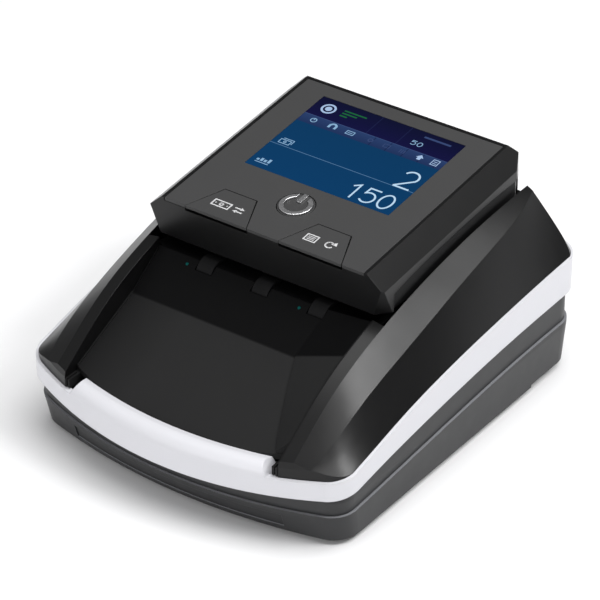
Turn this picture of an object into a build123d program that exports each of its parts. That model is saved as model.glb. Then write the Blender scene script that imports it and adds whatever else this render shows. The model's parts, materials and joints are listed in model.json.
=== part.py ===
from build123d import *
import os
from math import cos, radians, sin, sqrt

# Counterfeit bill detector: a wedge-shaped desktop unit. A note goes up the feed tray, under the
# hinged head between two rows of rollers, and out of the slot at the rear.
# Millimetres. +X right, -Y front, +Z up. Origin: centre of the footprint, on the table.

# ---- driving dimensions ----
BAND_HALF_W = 66.9       # outer half width, over the trim band
SIDE_HALF_W = 65.9       # half width of the housing and base
FRONT_Y = -80.3          # foremost point of the trim band
REAR_Y = 80.3
FRONT_R = 150.0          # plan radius of the bowed front
FLOOR_Z = 2.0            # underside of the base, over the rubber feet
WALL = 2.2
BAND_T = 2.3             # trim band thickness
CREST_X = 49.7           # half width of the wing crest
STRIP_X = 45.4           # half width of the strip's inner edge
STRIP_RISE = 0.7         # inner edge of the strip over the crest
TRAY_X = 44.9            # half width of the tray pocket
TRAY_FRONT_Z = 28.4      # tray floor height at TRAY_FRONT_Y
TRAY_FRONT_Y = -73.8
TRAY_SLOPE = 0.46        # rise per length of the first ramp
STEP_Y = -35.6           # crease between the two ramps
THROAT_SLOPE = 0.70      # rise per length of the second ramp
DECK_Z = 57.3            # top of the lower note guide
GUIDE_Z = 61.8           # underside of the upper note guide
HEAD_TILT = 6.2          # slope of the control panel, degrees
PANEL_FRONT = (-20.0, 77.8)
PANEL_LEN = 85.9
PANEL_HALF_W = 42.9
HEAD_HALF_W = 49.1
BEVEL_DROP = 5.8
HEAD_REAR_Y = 77.0
DRIVE_R = 6.2
DRIVE_Z = 52.2
DRIVE_YS = (-16.5, 45.0)
ROLLER_XS = (-23.6, 0.0, 23.6)
ROLLER_W = 6.4
PINCH_R = 5.6
PINCH_GAP = 0.25
SHAFT_R = 1.5
PINCH_SHAFT_R = 1.0
PINCH_SETBACK = 5.8      # front idlers behind the front drive rollers
FIT = 0.05               # radial running clearance
PLATE_X = 45.5           # centre plane of the transport side plates
HINGE_Y = 70.6
HINGE_Z = 63.6
PIN_R = 1.25
LUG_R = 2.3
LUG_FOOT_Z = 40.0
SCREW_R = 1.4

# Side-view curves, as (y, z)
BAND_LOW = [(-84, 17.6), (-62, 21.8), (-40, 25.3), (-8, 29.0), (27, 31.8), (69, 33.2), (84, 33.5)]
BAND_TOP = [(-84, 24.8), (-60, 29.6), (-36, 35.4), (-8, 40.4), (26, 44.0), (69, 46.8), (84, 47.4)]
LEDGE = [(-84, 12.2), (-50, 13.7), (-10, 17.0), (29, 19.6), (84, 20.2)]
ARCH = [(-12.6, 68.6), (3, 71.75), (25, 74.5), (49.6, 76.6), (66, 77.0), (90, 77.0)]

# Wing sections: y, crest height, chamfer foot half width and height
WING = [
    (-79, 25.6, 52.0, 24.6),
    (-67, 35.6, 55.8, 32.6),
    (-59, 41.6, 57.2, 37.2),
    (-43, 50.9, 57.6, 44.5),
    (-27, 57.2, 57.8, 50.0),
    (-8, 62.6, 57.9, 55.4),
    (12, 66.8, 57.6, 60.8),
    (33, 69.9, 57.0, 65.2),
    (52, 71.5, 55.5, 68.2),
    (61, 71.9, 53.8, 69.8),
    (68, 72.1, 51.6, 71.3),
    (75, 72.2, 50.2, 71.9),
    (84, 72.3, 49.9, 72.0),
]
WING_STEPS = 13
# Right edge of the tray floor, as (y, x): it closes in on the slot
FLOOR_RIGHT = [(-72.4, 43.6), (-69.5, 41.7), (-62.8, 37.6), (-56.2, 34.5), (-47.8, 30.4), (-35.6, 25.2),
               (-28.4, 26.1), (-19.6, 27.2)]


# ---- helpers ----
def save(name, *solids):
    """Write one node; several solids stay separate bodies of the same node."""
    shape = solids[0] if len(solids) == 1 else Compound(children=list(solids))
    export_step(shape, f"parts/{name}.step")


def box(x0, x1, y0, y1, z0, z1):
    return Pos((x0 + x1) / 2, (y0 + y1) / 2, (z0 + z1) / 2) * Box(x1 - x0, y1 - y0, z1 - z0)


def yz_prism(points, x0, x1):
    """Outline of (y, z) points swept along X."""
    return extrude(Plane.YZ.offset(x0) * make_face(Polyline(*points, close=True)), x1 - x0)


def xy_prism(points, z0, z1):
    return extrude(Plane.XY.offset(z0) * make_face(Polyline(*points, close=True)), z1 - z0)


def under_curve(points, x0=-90, x1=90, depth=-20):
    """Everything below a smooth (y, z) curve."""
    curve = Spline(*points)
    rest = Polyline(points[-1], (points[-1][0], depth), (points[0][0], depth), points[0])
    return extrude(Plane.YZ.offset(x0) * make_face([*curve.edges(), *rest.edges()]), x1 - x0)


def rod_x(x0, x1, y, z, r):
    return Pos((x0 + x1) / 2, y, z) * Rot(0, 90, 0) * Cylinder(r, x1 - x0)


def rod_z(x, y, z0, z1, r):
    return Pos(x, y, (z0 + z1) / 2) * Cylinder(r, z1 - z0)


def plan(half_w, front, rear, front_r, front_corner, rear_corner):
    """Footprint with a bowed front and rounded corners."""
    front_y = front + front_r - sqrt(front_r ** 2 - half_w ** 2)
    sides = Polyline((half_w, front_y), (half_w, rear), (-half_w, rear), (-half_w, front_y))
    bow = ThreePointArc((-half_w, front_y), (0, front), (half_w, front_y))
    face = Sketch() + make_face([*sides.edges(), *bow.edges()])
    face = fillet(face.vertices().sort_by(Axis.Y)[:2], front_corner)
    return fillet(face.vertices().sort_by(Axis.Y)[-2:], rear_corner)


def upright(sketch, z0, z1):
    return extrude(Pos(0, 0, z0) * sketch, z1 - z0)


def tapered(low, z0, high, z1):
    return loft([Pos(0, 0, z0) * low.face(), Pos(0, 0, z1) * high.face()])


def mirrored(shape):
    return mirror(shape, Plane.YZ)


def section_wire(y, points):
    return Wire.make_polygon([Vector(x, y, z) for x, z in points], close=True)


def smooth_row(rows, y):
    """Values at y on a smooth curve through a table whose first column is y."""
    i = max(k for k in range(len(rows) - 1) if rows[k][0] <= y)
    before, low, high, after = rows[max(i - 1, 0)], rows[i], rows[i + 1], rows[min(i + 2, len(rows) - 1)]
    span = high[0] - low[0]
    t = (y - low[0]) / span
    values = [y]
    for a, b, c, d in list(zip(before, low, high, after))[1:]:
        start = (c - a) / (high[0] - before[0]) * span
        end = (d - b) / (after[0] - low[0]) * span
        values.append(b + t * start + t * t * (3 * (c - b) - 2 * start - end) + t ** 3 * (start + end - 2 * (c - b)))
    return tuple(values)


def tray_z(y):
    """Height of the tray's running surface."""
    ramp = TRAY_FRONT_Z + TRAY_SLOPE * (min(y, STEP_Y) - TRAY_FRONT_Y)
    return ramp + THROAT_SLOPE * max(0, y - STEP_Y)


def crest_z(y):
    return smooth_row(WING, y)[1]


THROAT_END_Y = STEP_Y + (DECK_Z - tray_z(STEP_Y)) / THROAT_SLOPE
PANEL = Plane(origin=(0, *PANEL_FRONT), x_dir=(1, 0, 0),
              z_dir=(0, -sin(radians(HEAD_TILT)), cos(radians(HEAD_TILT))))


def panel_box(x0, x1, v0, v1, w0, w1):
    """Box in the control panel's own axes: X, up the slope, and out of the face."""
    return PANEL * box(x0, x1, v0, v1, w0, w1)


def panel_prism(points, w0, w1):
    return extrude(PANEL.offset(w0) * make_face(Polyline(*points, close=True)), w1 - w0)


# ---- base ----
def base_body(inset):
    """Lower body: leans out from the floor up to the band, then stands upright."""
    low = plan(64.6 - inset, -71.5 + inset, 78.2 - inset, 220, 10 - inset, 9 - inset)
    mid = plan(SIDE_HALF_W - inset, -79.2 + inset, 79.3 - inset, FRONT_R, 10 - inset, 10 - inset)
    return tapered(low, FLOOR_Z, mid, 18.6) + upright(mid, 18.6, 36)


BASE_BOSSES = [(sx * 55.5, y) for sx in (-1, 1) for y in (-50, 62)]
FEET = [(sx * 52, y) for sx in (-1, 1) for y in (-55, 64)]
LEDGE_STEP = 0.9         # the side stands this far out below the ledge
BATTERY = (-37.0, 5.0, 8.0, 66.0)      # compartment: x0, x1, y0, y1


def make_base_shell():
    outer = base_body(0)
    under_ledge = outer & under_curve(LEDGE)
    shell = ((outer - under_ledge) & base_body(LEDGE_STEP)) + under_ledge
    front_panel = (base_body(-1) - base_body(0.45)) & box(-44, 44, -90, -60, 4.2, 9.6)
    shell -= front_panel
    shell -= base_body(4.0) & box(-80, 80, -90, 90, FLOOR_Z + WALL, 60)
    shell = shell & under_curve([(y, z - 0.05) for y, z in BAND_LOW])
    shell -= box(-80, 80, 52, 90, 0, FLOOR_Z + 1.2) & (base_body(0) - base_body(5.5))
    for x, y in BASE_BOSSES:
        shell += rod_z(x, y, FLOOR_Z + 1, 24, 3.6)
    for x, y in BASE_BOSSES:
        shell -= rod_z(x, y, -1, 25, SCREW_R + 0.1)
        shell -= rod_z(x, y, -1, FLOOR_Z + 3, 3.0)
    for x, y in FEET:
        shell -= rod_z(x, y, -1, FLOOR_Z + 0.8, 5.6)
    x0, x1, y0, y1 = BATTERY
    shell -= box(x0, x1, y0, y1, -1, 8)
    shell += box(x0 - 1.8, x1 + 1.8, y0 - 1.8, y1 + 1.8, FLOOR_Z, 24) - box(x0, x1, y0, y1, 0, 22.4)
    for i in range(9):
        shell -= box(20 + 3.4 * i, 21.6 + 3.4 * i, -36, -8, -1, 8)
    shell -= rod_jack(4.1)
    shell -= box(13.6, 26.4, 70, 90, 8.7, 15.4)
    return shell


JACK = (36.0, 11.0)                     # x, z of the power inlet


def rod_jack(r, y0=70.0, y1=90.0):
    return Pos(JACK[0], (y0 + y1) / 2, JACK[1]) * Rot(90, 0, 0) * Cylinder(r, y1 - y0)


def make_dc_jack():
    body = box(JACK[0] - 5.5, JACK[0] + 5.5, 62.2, 73.4, 6.6, 15.6)
    nose = rod_jack(4.0, 73.4, 77.0)
    return body + nose - rod_jack(2.75, 66, 90) + rod_jack(0.9, 65.9, 75.0)


def make_service_port():
    shell = box(14, 26, 66, 77.2, 9.1, 15.0) - box(15, 25, 69, 90, 10.2, 13.9)
    return shell + box(16.6, 23.4, 68.9, 75.5, 11.6, 12.5)


def make_rubber_feet():
    return [rod_z(x, y, 0, FLOOR_Z + 0.7, 5.4) - rod_z(x, y, -1, 0.6, 1.6) for x, y in FEET]


def make_case_screws():
    screws = []
    for x, y in BASE_BOSSES:
        head = rod_z(x, y, FLOOR_Z + 1.2, FLOOR_Z + 2.9, 2.7) - box(x - 2, x + 2, y - 0.4, y + 0.4, 0, FLOOR_Z + 2)
        screws.append(head + rod_z(x, y, FLOOR_Z + 2.9, 33, SCREW_R))
    return screws


def make_battery_cover():
    x0, x1, y0, y1 = BATTERY
    gap = 0.35
    door = box(x0 + gap, x1 - gap, y0 + gap, y1 - gap, FLOOR_Z + 0.1, FLOOR_Z + 1.9)
    for i in range(5):
        door -= box(-24, -8, y1 - 16 + 2.4 * i, y1 - 14.8 + 2.4 * i, FLOOR_Z, FLOOR_Z + 0.7)
    return door - rod_z(*COVER_SCREW, 0, 5, 1.5) - rod_z(*COVER_SCREW, 0, FLOOR_Z + 1.0, 2.8)


COVER_SCREW = (-16.0, 12.4)


def make_cover_screw():
    x, y = COVER_SCREW
    head = rod_z(x, y, FLOOR_Z + 0.2, FLOOR_Z + 1.0, 2.6) - box(x - 2, x + 2, y - 0.3, y + 0.3, 0, FLOOR_Z + 0.6)
    return head + rod_z(x, y, FLOOR_Z + 1.0, FLOOR_Z + 2.6, SCREW_R)


def make_battery_pack():
    x0, x1, y0, y1 = BATTERY
    cells = [rod_x(x0 + 1.2, x1 - 1.2, y0 + 11 + 18.4 * i, 13.6, 8.7) for i in range(3)]
    bridges = [box(x0 + 6, x1 - 6, y0 + 11 + 18.4 * i, y0 + 29.4 + 18.4 * i, 9.6, 17.6) for i in range(2)]
    pack = cells[0]
    for piece in cells[1:] + bridges:
        pack += piece
    return pack


# ---- trim band ----
def make_trim_band():
    outer = plan(BAND_HALF_W, FRONT_Y, REAR_Y, FRONT_R, 11, 11)
    inner = plan(BAND_HALF_W - BAND_T, FRONT_Y + BAND_T, REAR_Y - BAND_T, FRONT_R, 8.7, 8.7)
    ring = upright(outer, 10, 60) - upright(inner, 9, 61)
    ring = (ring & under_curve(BAND_TOP)) - under_curve(BAND_LOW)
    profile = Polyline((FRONT_Y + 5.0, 30.7), (FRONT_Y + 7.2, 30.2), (FRONT_Y + 7.2, 26.6), (FRONT_Y + 1.6, 24.2),
                       (FRONT_Y + 1.6, 21.5), (FRONT_Y, 21.5), (FRONT_Y, 26.2))
    brow = ThreePointArc((FRONT_Y, 26.2), (FRONT_Y + 1.4, 29.4), (FRONT_Y + 5.0, 30.7))
    face = Plane.YZ * make_face([*profile.edges(), *brow.edges()])
    swing = 16.4
    bumper = revolve(Rot(0, 0, 0) * face, Axis((0, FRONT_Y + FRONT_R, 0), (0, 0, 1)), 2 * swing)
    bumper = Pos(0, FRONT_Y + FRONT_R, 0) * Rot(0, 0, -swing) * Pos(0, -FRONT_Y - FRONT_R, 0) * bumper
    ends = make_face(Polyline((-42.3, 20), (42.3, 20), (42.1, 25), (38.2, 32), (-38.2, 32), (-42.1, 25), close=True))
    bumper = bumper & extrude(Plane.XZ.offset(50) * ends, 50)
    return ring + bumper


# ---- upper housing ----
def wing_rows():
    first, last = WING[0][0], WING[-1][0] - 0.01
    return [smooth_row(WING, first + (last - first) * i / WING_STEPS) for i in range(WING_STEPS + 1)]


def wing_outline(row):
    y, crest, foot_x, foot_z = row
    band = smooth_row(BAND_TOP, y)[1]
    right = [(SIDE_HALF_W, 12), (SIDE_HALF_W, band), (foot_x, foot_z), (CREST_X, crest), (STRIP_X, crest + STRIP_RISE)]
    return right + [(-x, z) for x, z in reversed(right)]


def wing_hollow(row):
    y, crest, foot_x, foot_z = row
    band = smooth_row(BAND_TOP, y)[1]
    right = [(SIDE_HALF_W - 3.6, 11), (SIDE_HALF_W - 3.6, band - 1.4), (max(foot_x - 1.9, CREST_X - 0.5), foot_z - 2.2),
             (CREST_X - 0.9, crest - 2.7)]
    return right + [(-x, z) for x, z in reversed(right)]


def housing_envelope(inset):
    low = plan(SIDE_HALF_W - inset, -79.2 + inset, 79.3 - inset, FRONT_R, 10 - inset, 10 - inset)
    wide = plan(66.4 - inset, -79.2 + inset, 79.3 - inset, FRONT_R, 12 - inset, 9 - inset)
    high = plan(61.5 - inset, -79.0 + inset, 66.2 - inset, FRONT_R, 12 - inset, 19 - inset)
    return upright(low, 11, 46) + tapered(wide, 46, high, 78)


def front_facet_cut():
    """Plane that trims the right wing's nose."""
    along = Vector(14.2, 4.6, 0)
    up = Vector(1.3, 2.0, 6.7)
    plane = Plane(origin=(43.8, -74.0, 25.4), x_dir=along, z_dir=along.cross(up))
    return plane * (Pos(10, 10, 20) * Box(80, 80, 40))


def make_upper_housing():
    outer = Solid.make_loft([section_wire(row[0], wing_outline(row)) for row in wing_rows()])
    outer = Part() + outer
    outer = outer & housing_envelope(0)
    nose = front_facet_cut() & box(0, 90, -90, -50, 0, 90)
    outer -= nose
    outer -= mirrored(nose)
    hollow = Part() + Solid.make_loft([section_wire(row[0], wing_hollow(row)) for row in wing_rows()], ruled=True)
    hollow = hollow & housing_envelope(2.2)
    hollow -= box(-90, 90, -90, -65.5, 0, 90)
    hollow -= box(-TRAY_X - 2, TRAY_X + 2, -90, -21.5, 0, 90)
    hollow -= box(-CREST_X - 1.8, CREST_X + 1.8, -21.5, 90, DECK_Z + 0.1, 90)
    shell = outer - hollow
    shell -= box(-TRAY_X, TRAY_X, -76.6, -19.0, 0, 90)
    shell -= box(-HEAD_HALF_W - 0.5, HEAD_HALF_W + 0.5, -19.2, 90, 55.6, 90)
    core = plan(BAND_HALF_W - BAND_T - 0.05, FRONT_Y + BAND_T + 0.05, REAR_Y - BAND_T - 0.05, FRONT_R, 8.6, 8.6)
    shell -= (box(-90, 90, -90, 90, 0, 60) - upright(core, -1, 61)) & under_curve([(y, z + 0.03) for y, z in BAND_TOP])
    brow = box(-42.6, 42.6, -90, -60, 0, 31.2)
    shell -= brow & (box(-90, 90, -90, -60, 0, 40) - rod_z(0, FRONT_Y + FRONT_R, -1, 41, FRONT_R - 7.4))
    shell -= under_curve(BAND_LOW)
    for x, y in BASE_BOSSES:
        shell += (rod_z(x, y, 24.2, 80, 3.6) & outer) - under_curve([(-90, 24.1), (0, 24.1), (90, 24.1)])
        shell -= rod_z(x, y, 20, 34, SCREW_R + 0.02)
    return shell


# ---- tray ----
def tray_section(front, rear, lift, drop):
    """Running surface as a (y, z) outline, lifted and with the given thickness below it."""
    top = [(front, tray_z(front) + lift), (STEP_Y, tray_z(STEP_Y) + lift), (rear, tray_z(rear) + lift)]
    return top + [(y, z - drop) for y, z in reversed(top)]


def roller_pocket(x, y):
    half = ROLLER_W / 2 + 0.4
    return rod_x(x - half, x + half, y, DRIVE_Z, DRIVE_R + 0.4)


def make_feed_tray():
    front, rear = -74.2, THROAT_END_Y + 0.1
    tray = yz_prism(tray_section(front, rear, 0, 2.2), -TRAY_X + 0.1, TRAY_X - 0.1)
    tray += yz_prism(tray_section(-70.5, rear - 1.5, 0.55, 1.2), -TRAY_X + 0.1, -TRAY_X + 0.75)
    tray -= box(-90, 90, -90, -60, 0, 60) - rod_z(0, FRONT_Y + FRONT_R, -1, 61, FRONT_R - 7.3)
    tray -= box(-90, 90, -90, 90, DECK_Z, 90)
    rib = box(42.6, 44.8, -72.6, -65.5, 27.3, 30.6) - box(43.5, 44.0, -73, -67.5, 27, 31)
    tray += rib
    tray += mirrored(rib)
    for x in ROLLER_XS:
        tray -= roller_pocket(x, DRIVE_YS[0])
    for x in LED_XS:
        tray -= rod_z(x, -21.6, 40, 70, LED_R + 0.1)
    return tray


LED_XS = (-31.0, 16.6)
LED_R = 0.5


def make_sensor_leds():
    leds = []
    for x in LED_XS:
        top = tray_z(-21.6)
        leds.append(rod_z(x, -21.6, top - 4.0, top + 0.1, LED_R) + rod_z(x, -21.6, top - 5.2, top - 4.0, 1.9))
    return leds


def make_note_guide():
    """Wedge that steers the note from the wide tray mouth to the slot's right edge."""
    wires = []
    for y, x in FLOOR_RIGHT:
        low = tray_z(y) - 12
        points = [(x, low), (x, tray_z(y) + 0.8), (TRAY_X - 0.1, crest_z(y) + 0.35), (TRAY_X - 0.1, low)]
        wires.append(section_wire(y, points))
    wedge = Part() + Solid.make_loft(wires, ruled=True)
    wedge -= yz_prism(tray_section(-80, 0, 0.05, 40), -60, 60)
    wedge -= box(0, 90, -90, -60, 0, 60) - rod_z(0, FRONT_Y + FRONT_R, -1, 61, FRONT_R - 7.5)
    return wedge - roller_pocket(ROLLER_XS[2], DRIVE_YS[0])


# ---- head ----
def head_block(inset):
    """Outer form of the head, or the same form shrunk by the inset on every side but the bottom."""
    side = [(PANEL_FRONT[0] + inset, PANEL_FRONT[1] - inset), (65.4 - inset, 87.1 - inset), (69.2 - inset, 82.4),
            (HEAD_REAR_Y - inset, 66.0), (HEAD_REAR_Y - 0.4 - inset, 63.6), (HEAD_REAR_Y - 2.4 - inset, GUIDE_Z),
            (-18.3 + inset, GUIDE_Z)]
    block = yz_prism(side, -HEAD_HALF_W + inset, HEAD_HALF_W - inset)
    half, top = HEAD_HALF_W - inset, PANEL_HALF_W - 0.6 * inset
    gable = [(-half, -60), (-half, -BEVEL_DROP - 0.4 * inset), (-top, -inset), (top, -inset),
             (half, -BEVEL_DROP - 0.4 * inset), (half, -60)]
    frame = Plane(origin=(0, *PANEL_FRONT), x_dir=(1, 0, 0), z_dir=-PANEL.y_dir)
    block = block & extrude(frame.offset(-120) * make_face(Polyline(*gable, close=True)), 160)
    for sx in (-1, 1):
        rear_corner = [(sx * (HEAD_HALF_W + 1), 60 - inset), (sx * (HEAD_HALF_W + 1), 95), (sx * 30, 95)]
        block -= xy_prism(rear_corner, 50, 100)
        a, b, c = Vector(sx * 44.6, -18.3, 61), Vector(sx * 49.2, -13.4, 62.0), Vector(sx * 49.2, -18.1, 71.9)
        normal = (b - a).cross(c - a)
        if normal.Y > 0:
            normal = normal * -1
        plane = Plane(origin=a + Vector(0, inset, 0), z_dir=normal)
        block -= plane * (Pos(0, 0, 20) * Box(60, 60, 40)) & box(min(sx * 40, sx * 60), max(sx * 40, sx * 60), -40, 0, 50, 74)
    return block


DISPLAY = (30.2, 31.0, 78.2)            # half width and the two ends, up the slope
KEY = [(6.8, -0.1), (32.5, -0.1), (26.3, 14.5), (13.1, 14.5)]
POWER_V = 19.6
POWER_R = 6.6
PLATE_SUNK = 1.3
PLATE_FRONT = 0.1        # front edge of the faceplate and keys, up the panel
KEY_GAP = 0.4


def key_outline(side, grow):
    cx = sum(x for x, v in KEY) / 4
    return [(side * (x + grow * (1 if x > cx else -1)), v + (grow if v > 7 else 0)) for x, v in KEY]


ARCH_BAY = [(-12.6, 50), (70.2, 50), (70.2, 71.8), (69.6, 72.4), (65.8, 77.2), (65.8, 90), (-12.6, 90)]
KNUCKLE_X = 47.6         # outer end of the hinge pins


def make_head_cover():
    cover = head_block(0) - head_block(2.0)
    arch = under_curve(ARCH, depth=40)
    cover -= arch & yz_prism(ARCH_BAY, -60, 60)
    rim = PLATE_FRONT - 0.3
    cover -= panel_box(-PANEL_HALF_W + 1.1, PANEL_HALF_W - 1.1, rim, PANEL_LEN - 1.2, -PLATE_SUNK, 3)
    cover -= panel_box(-DISPLAY[0] + 1, DISPLAY[0] - 1, DISPLAY[1] + 1, DISPLAY[2] - 1, -8, 3)
    for side in (-1, 1):
        cover -= panel_prism([(x, max(v, rim)) for x, v in key_outline(side, KEY_GAP)], -2.3, 3)
        cover -= panel_prism([(x, max(v, 2.4)) for x, v in key_outline(side, KEY_GAP)], -4.6, 0)
    cover -= PANEL * (Pos(0, POWER_V, 0) * Cylinder(POWER_R + 0.3, 20))
    cover -= box(-HEAD_HALF_W + 2, HEAD_HALF_W - 2, -14, HEAD_REAR_Y + 1, 50, GUIDE_Z + 0.1)
    return cover - rod_x(-KNUCKLE_X, KNUCKLE_X, HINGE_Y, HINGE_Z, PIN_R)


HEAD_COVER = make_head_cover()


def make_head_lower():
    """Recessed skirt under the cover's arched edge, closed at the rear."""
    body = head_block(1.05) - head_block(2.9)
    arch = under_curve([(y, z + 1.6) for y, z in ARCH], depth=40)
    body = body & arch & box(-90, 90, -12.4, 90, 50, 90)
    body -= box(-46.3, 46.3, -30, 73.9, 40, 70)
    body -= HEAD_COVER
    return body - rod_x(-KNUCKLE_X, KNUCKLE_X, HINGE_Y, HINGE_Z, PIN_R)


def make_upper_guide():
    outline = [(-40, -16.1), (40, -16.1), (45.9, -9), (45.9, 66.8), (44.2, 66.8), (44.2, 72.2), (-44.2, 72.2),
               (-44.2, 66.8), (-45.9, 66.8), (-45.9, -9)]
    guide = xy_prism(outline, GUIDE_Z, GUIDE_Z + 1.4)
    for sx in (-1, 1):
        guide += box(*sorted((sx * 42.8, sx * 44.2)), HINGE_Y - 2.6, 72.2, GUIDE_Z, HINGE_Z + 2.6)
    for y in PINCH_YS:
        guide -= box(-30.5, 30.5, y - PINCH_R - 0.5, y + PINCH_R + 0.6, 50, 70)
        guide -= box(-36.2, 36.2, y - PINCH_SHAFT_R - 0.4, y + PINCH_SHAFT_R + 0.4, 50, 70)
    guide -= box(-26, 26, 8, 28, 50, 70)
    return guide - rod_x(-48, 48, HINGE_Y, HINGE_Z, PIN_R)


PINCH_RISE = DRIVE_R + PINCH_GAP + PINCH_R
PINCH_YS = (DRIVE_YS[0] + PINCH_SETBACK, DRIVE_YS[1])
PINCH_ZS = (DRIVE_Z + sqrt(PINCH_RISE ** 2 - PINCH_SETBACK ** 2), DRIVE_Z + PINCH_RISE)


def make_faceplate():
    edge = PANEL_HALF_W - 1.35
    plate = panel_box(-edge, edge, PLATE_FRONT, PANEL_LEN - 1.45, -PLATE_SUNK + 0.05, -0.05)
    plate -= panel_box(-DISPLAY[0] - 0.15, DISPLAY[0] + 0.15, DISPLAY[1] - 0.15, DISPLAY[2] + 0.15, -8, 3)
    for side in (-1, 1):
        plate -= panel_prism(key_outline(side, KEY_GAP), -4.0, 3)
    return plate - PANEL * (Pos(0, POWER_V, 0) * Cylinder(POWER_R + 0.3, 20))


def make_display_glass():
    return panel_box(-DISPLAY[0], DISPLAY[0], DISPLAY[1], DISPLAY[2], -PLATE_SUNK + 0.05, -0.1)


def make_display_module():
    module = panel_box(-33, 33, 28.4, 81, -5.6, -2.2)
    return module - panel_box(-DISPLAY[0] + 1, DISPLAY[0] - 1, DISPLAY[1] + 1, DISPLAY[2] - 1, -2.9, 0)


def make_key(side):
    """Trapezoid cap flush with the faceplate's front edge, with a stem to its switch."""
    front = [(x, max(v, PLATE_FRONT)) for x, v in key_outline(side, 0)]
    cap = panel_prism(front, -1.2, 0.0)
    stem = PANEL * (Pos(side * 19.6, 8.0, -3.2) * Cylinder(2.0, 4.0))
    return cap + stem


def make_power_button():
    """Round cap that carries the plated symbol."""
    cap = Pos(0, 0, -1.3) * Cylinder(POWER_R, 2.2)
    stem = Pos(0, 0, -3.7) * Cylinder(2.0, 2.8)
    return PANEL * (Pos(0, POWER_V, 0) * (cap + stem))


def make_power_symbol():
    """Plated ring and bar, raised from the cap."""
    ring = Pos(0, 0, 0.15) * (Cylinder(6.0, 0.7) - Cylinder(4.2, 1.2))
    ring -= Pos(0, 4.5, 0.15) * Box(4.6, 4.4, 1.4)
    bar = Pos(0, 3.9, 0.15) * Box(1.7, 5.0, 0.7)
    return [PANEL * (Pos(0, POWER_V, 0) * piece) for piece in (ring, bar)]


SWITCHES = [(-19.6, 8.0), (19.6, 8.0), (0.0, POWER_V)]


def make_key_board():
    board = panel_box(-38, 38, 3.6, 27.6, -9.6, -8.0)
    return board


def make_key_switches():
    return [PANEL * (Pos(x, v, -7.3) * Box(6, 6, 1.3)) + PANEL * (Pos(x, v, -6.5) * Cylinder(1.6, 0.6))
            for x, v in SWITCHES]


def make_display_board():
    return panel_box(-36, 36, 29, 80, -8.4, -6.8)


def make_head_frame():
    """Inner carrier: two rails that hold the boards and the pinch shafts."""
    rails = []
    for sx in (-1, 1):
        x0, x1 = sorted((sx * 33.7, sx * 35.5))
        rail = yz_prism([(-13.5, GUIDE_Z + 1.5), (60, GUIDE_Z + 1.5), (60, 74.6), (-8, 67.4), (-13.5, 67)], x0, x1)
        for y, z in zip(PINCH_YS, PINCH_ZS):
            rail -= rod_x(x0 - 1, x1 + 1, y, z, PINCH_SHAFT_R + FIT)
            rail -= box(x0 - 1, x1 + 1, y - PINCH_SHAFT_R - FIT, y + PINCH_SHAFT_R + FIT, 50, z)
        rails.append(rail)
    bridge = box(-33.7, 33.7, 31.6, 33.6, GUIDE_Z + 3.0, 70)
    return rails[0] + rails[1] + bridge


def make_pinch(index):
    """Idler shaft with three soft rollers."""
    y, z = PINCH_YS[index], PINCH_ZS[index]
    shaft = rod_x(-35.6, 35.6, y, z, PINCH_SHAFT_R)
    tyres = [rod_x(x - 3.6, x + 3.6, y, z, PINCH_R) - rod_x(x - 4, x + 4, y, z, PINCH_SHAFT_R) for x in ROLLER_XS]
    return shaft, tyres


def make_magnetic_sensor():
    body = box(-22, 22, 11, 25, GUIDE_Z + 0.3, 71)
    return body + rod_x(-20, 20, 18, GUIDE_Z + 1.0, 1.0)


# ---- hinge ----
def make_hinge_lugs():
    """Two ears that stand on the side plates and carry the head."""
    lugs = []
    for sx in (-1, 1):
        x0, x1 = sorted((sx * 44.55, sx * 45.95))
        lug = box(x0, x1, HINGE_Y - LUG_R, HINGE_Y + LUG_R, LUG_FOOT_Z, HINGE_Z) + rod_x(x0, x1, HINGE_Y, HINGE_Z, LUG_R)
        lugs.append(lug - rod_x(x0 - 1, x1 + 1, HINGE_Y, HINGE_Z, PIN_R + FIT))
    return lugs


def make_hinge_pins():
    return [rod_x(*sorted((sx * 42.9, sx * KNUCKLE_X)), HINGE_Y, HINGE_Z, PIN_R) for sx in (-1, 1)]


# ---- transport ----
def make_side_plate(sx):
    x0, x1 = sorted((sx * (PLATE_X - 1), sx * (PLATE_X + 1)))
    plate = box(x0, x1, -21.2, 70, 5, 55.3) - box(x0 - 1, x1 + 1, -12, 60, 4, 14)
    plate -= yz_prism(tray_section(-40, -16, 0.3, 2.6), x0 - 1, x1 + 1)
    plate -= box(x0 - 1, x1 + 1, HINGE_Y - LUG_R - 0.1, 80, LUG_FOOT_Z, 60)
    for y in DRIVE_YS:
        plate -= rod_x(x0 - 1, x1 + 1, y, DRIVE_Z, 3.0)
    foot = box(*sorted((sx * 40.2, sx * (PLATE_X + 1))), -21.2, -12, 4.3, 6.3)
    foot += box(*sorted((sx * 42.2, sx * (PLATE_X + 1))), 60, 70, 4.3, 6.3)
    if sx > 0:
        plate -= rod_x(x0 - 1, x1 + 1, MOTOR[0], MOTOR[1], 3.2)
    return plate + foot


MOTOR = (14.0, 31.0)                    # y, z of the motor axis


def make_bearings():
    return [rod_x(*sorted((sx * (PLATE_X - 1.4), sx * (PLATE_X + 1.4))), y, DRIVE_Z, 2.98)
            - rod_x(-60, 60, y, DRIVE_Z, SHAFT_R + FIT) for sx in (-1, 1) for y in DRIVE_YS]


PULLEY_R = 3.7
BELT_T = 1.0
PULLEY_X = (47.3, 49.7)


def make_drive_shaft(y):
    shaft = rod_x(-47.4, PULLEY_X[1] + 0.4, y, DRIVE_Z, SHAFT_R)
    return shaft


def make_drive_rollers(y):
    return [rod_x(x - ROLLER_W / 2, x + ROLLER_W / 2, y, DRIVE_Z, DRIVE_R) - rod_x(-60, 60, y, DRIVE_Z, SHAFT_R)
            for x in ROLLER_XS]


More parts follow.
